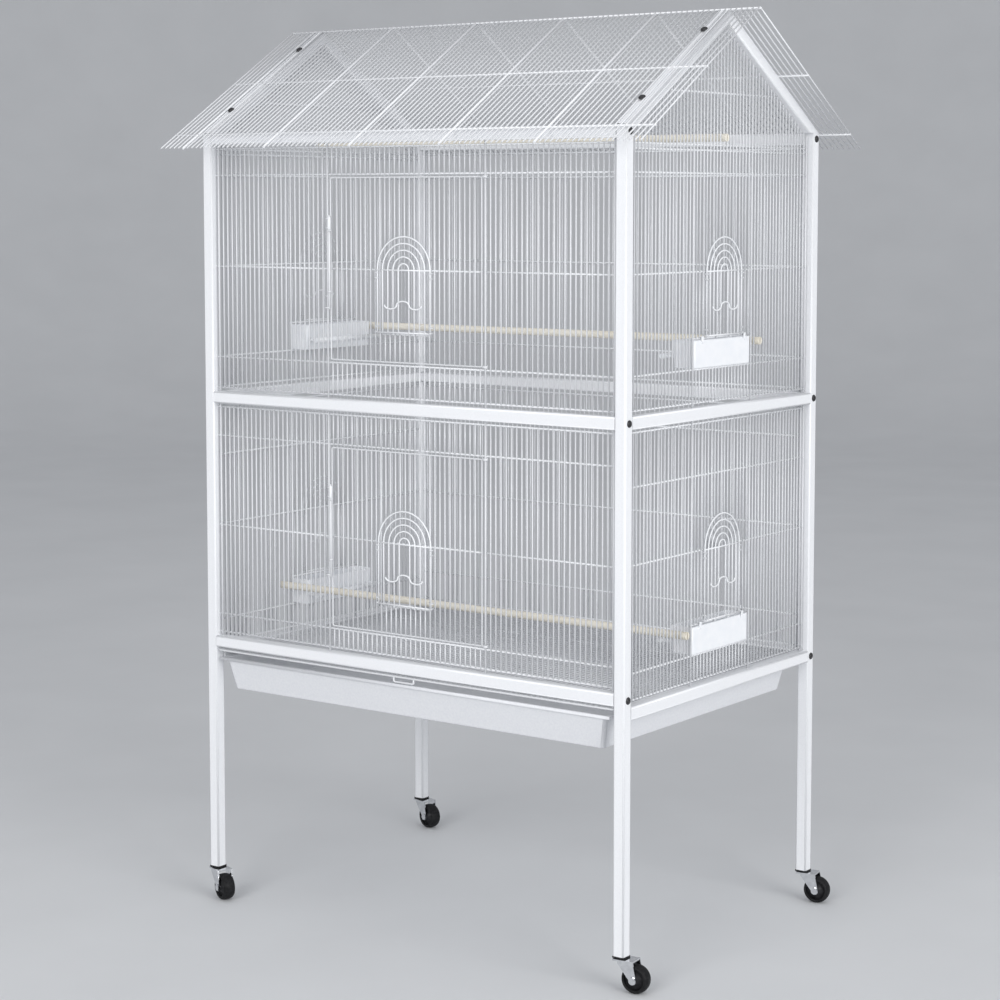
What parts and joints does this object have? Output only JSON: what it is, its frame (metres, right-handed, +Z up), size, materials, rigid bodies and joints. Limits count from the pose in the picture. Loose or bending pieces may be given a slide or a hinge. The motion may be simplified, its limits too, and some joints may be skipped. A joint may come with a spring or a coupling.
{
  "type": "flight bird cage",
  "caption": "Tall white flight bird cage of square tube and wire grilles, with pitched wire roof, hinged and sliding doors, food cups, wooden perches, drawer tray and casters.",
  "frame": {"origin": "on the floor, below the middle of the cage", "axes": "+X to the right along the front, +Y from the front to the back, +Z up"},
  "size_m": [0.917, 0.651, 1.4326],
  "materials": {
    "white_metal": "powder coated, satin",
    "white_plastic": "moulded, semi-gloss",
    "wood": "bare turned dowel",
    "black_bolt": "black oxide",
    "black_plastic": "moulded, matte",
    "chrome": "bright plated",
    "tread": "matte"
  },
  "bodies": {
    "frame": {"front_left_post": "white_metal", "front_right_post": "white_metal", "back_right_post": "white_metal", "back_left_post": "white_metal", "front_top_rail": "white_metal", "front_mid_rail": "white_metal", "front_bottom_rail": "white_metal", "back_top_rail": "white_metal", "back_mid_rail": "white_metal", "back_bottom_rail": "white_metal", "left_mid_rail": "white_metal", "left_bottom_rail": "white_metal", "right_mid_rail": "white_metal", "right_bottom_rail": "white_metal", "left_rafters": "white_metal", "right_rafters": "white_metal", "front_roof_grille": "white_metal", "back_roof_grille": "white_metal", "upper_front_grille": "white_metal", "lower_front_grille": "white_metal", "upper_back_grille": "white_metal", "lower_back_grille": "white_metal", "upper_left_grille": "white_metal", "lower_left_grille": "white_metal", "upper_right_grille": "white_metal", "lower_right_grille": "white_metal", "lower_perch": "wood", "upper_perch": "wood", "top_perch": "wood", "runners": "white_metal", "frame_bolts": "black_bolt", "caster_sockets": "black_plastic"},
    "upper_door": {"upper_door": "white_metal"},
    "upper_latch": {"upper_latch": "white_metal"},
    "upper_front_slide_door": {"upper_front_slide_door": "white_metal"},
    "upper_left_slide_door": {"upper_left_slide_door": "white_metal"},
    "upper_left_cup": {"upper_left_cup": "white_plastic"},
    "upper_right_slide_door": {"upper_right_slide_door": "white_metal"},
    "upper_right_cup": {"upper_right_cup": "white_plastic"},
    "lower_door": {"lower_door": "white_metal"},
    "lower_latch": {"lower_latch": "white_metal"},
    "lower_front_slide_door": {"lower_front_slide_door": "white_metal"},
    "lower_left_slide_door": {"lower_left_slide_door": "white_metal"},
    "lower_left_cup": {"lower_left_cup": "white_plastic"},
    "lower_right_slide_door": {"lower_right_slide_door": "white_metal"},
    "lower_right_cup": {"lower_right_cup": "white_plastic"},
    "floor_grate": {"floor_grate": "white_metal"},
    "litter_tray": {"litter_tray": "white_metal"},
    "front_left_caster": {"front_left_fork": "chrome", "front_left_axle": "chrome"},
    "front_left_caster_wheel": {"front_left_wheel": "tread"},
    "front_right_caster": {"front_right_fork": "chrome", "front_right_axle": "chrome"},
    "front_right_caster_wheel": {"front_right_wheel": "tread"},
    "back_right_caster": {"back_right_fork": "chrome", "back_right_axle": "chrome"},
    "back_right_caster_wheel": {"back_right_wheel": "tread"},
    "back_left_caster": {"back_left_fork": "chrome", "back_left_axle": "chrome"},
    "back_left_caster_wheel": {"back_left_wheel": "tread"}
  },
  "joints": [
    {"name": "upper_door_hinge", "type": "hinge", "parent": "frame", "child": "upper_door", "pos_m": [0.1524, -0.273, 1.04], "axis": [0, 0, 1], "range_deg": [0, 135]},
    {"name": "upper_latch_lift", "type": "slide", "parent": "upper_door", "child": "upper_latch", "axis": [0, 0, 1], "range_m": [0, 0.012]},
    {"name": "upper_front_slide", "type": "slide", "parent": "upper_door", "child": "upper_front_slide_door", "axis": [0, 0, 1], "range_m": [0, 0.085]},
    {"name": "upper_left_slide", "type": "slide", "parent": "frame", "child": "upper_left_slide_door", "axis": [0, 0, 1], "range_m": [0, 0.085]},
    {"name": "upper_left_cup_pull", "type": "slide", "parent": "frame", "child": "upper_left_cup", "axis": [-1, 0, 0], "range_m": [0, 0.045]},
    {"name": "upper_right_slide", "type": "slide", "parent": "frame", "child": "upper_right_slide_door", "axis": [0, 0, 1], "range_m": [0, 0.085]},
    {"name": "upper_right_cup_pull", "type": "slide", "parent": "frame", "child": "upper_right_cup", "axis": [1, 0, 0], "range_m": [0, 0.045]},
    {"name": "lower_door_hinge", "type": "hinge", "parent": "frame", "child": "lower_door", "pos_m": [0.1524, -0.273, 0.62], "axis": [0, 0, 1], "range_deg": [0, 135]},
    {"name": "lower_latch_lift", "type": "slide", "parent": "lower_door", "child": "lower_latch", "axis": [0, 0, 1], "range_m": [0, 0.012]},
    {"name": "lower_front_slide", "type": "slide", "parent": "lower_door", "child": "lower_front_slide_door", "axis": [0, 0, 1], "range_m": [0, 0.085]},
    {"name": "lower_left_slide", "type": "slide", "parent": "frame", "child": "lower_left_slide_door", "axis": [0, 0, 1], "range_m": [0, 0.085]},
    {"name": "lower_left_cup_pull", "type": "slide", "parent": "frame", "child": "lower_left_cup", "axis": [-1, 0, 0], "range_m": [0, 0.045]},
    {"name": "lower_right_slide", "type": "slide", "parent": "frame", "child": "lower_right_slide_door", "axis": [0, 0, 1], "range_m": [0, 0.085]},
    {"name": "lower_right_cup_pull", "type": "slide", "parent": "frame", "child": "lower_right_cup", "axis": [1, 0, 0], "range_m": [0, 0.045]},
    {"name": "grate_pull", "type": "slide", "parent": "frame", "child": "floor_grate", "axis": [0, -1, 0], "range_m": [0, 0.4]},
    {"name": "tray_pull", "type": "slide", "parent": "frame", "child": "litter_tray", "axis": [0, -1, 0], "range_m": [0, 0.38]},
    {"name": "front_left_swivel", "type": "hinge", "parent": "frame", "child": "front_left_caster", "pos_m": [-0.397, -0.273, 0.052], "axis": [0, 0, 1], "continuous": true},
    {"name": "front_left_roll", "type": "hinge", "parent": "front_left_caster", "child": "front_left_caster_wheel", "pos_m": [-0.37428, -0.28218, 0.0215], "axis": [0.3746, 0.9272, 0], "continuous": true},
    {"name": "front_right_swivel", "type": "hinge", "parent": "frame", "child": "front_right_caster", "pos_m": [0.397, -0.273, 0.052], "axis": [0, 0, 1], "continuous": true},
    {"name": "front_right_roll", "type": "hinge", "parent": "front_right_caster", "child": "front_right_caster_wheel", "pos_m": [0.42137, -0.27044, 0.0215], "axis": [-0.1045, 0.9945, 0], "continuous": true},
    {"name": "back_right_swivel", "type": "hinge", "parent": "frame", "child": "back_right_caster", "pos_m": [0.397, 0.273, 0.052], "axis": [0, 0, 1], "continuous": true},
    {"name": "back_right_roll", "type": "hinge", "parent": "back_right_caster", "child": "back_right_caster_wheel", "pos_m": [0.4212, 0.27683, 0.0215], "axis": [-0.1564, 0.9877, 0], "continuous": true},
    {"name": "back_left_swivel", "type": "hinge", "parent": "frame", "child": "back_left_caster", "pos_m": [-0.397, 0.273, 0.052], "axis": [0, 0, 1], "continuous": true},
    {"name": "back_left_roll", "type": "hinge", "parent": "back_left_caster", "child": "back_left_caster_wheel", "pos_m": [-0.37333, 0.26666, 0.0215], "axis": [0.2588, 0.9659, 0], "continuous": true}
  ]
}
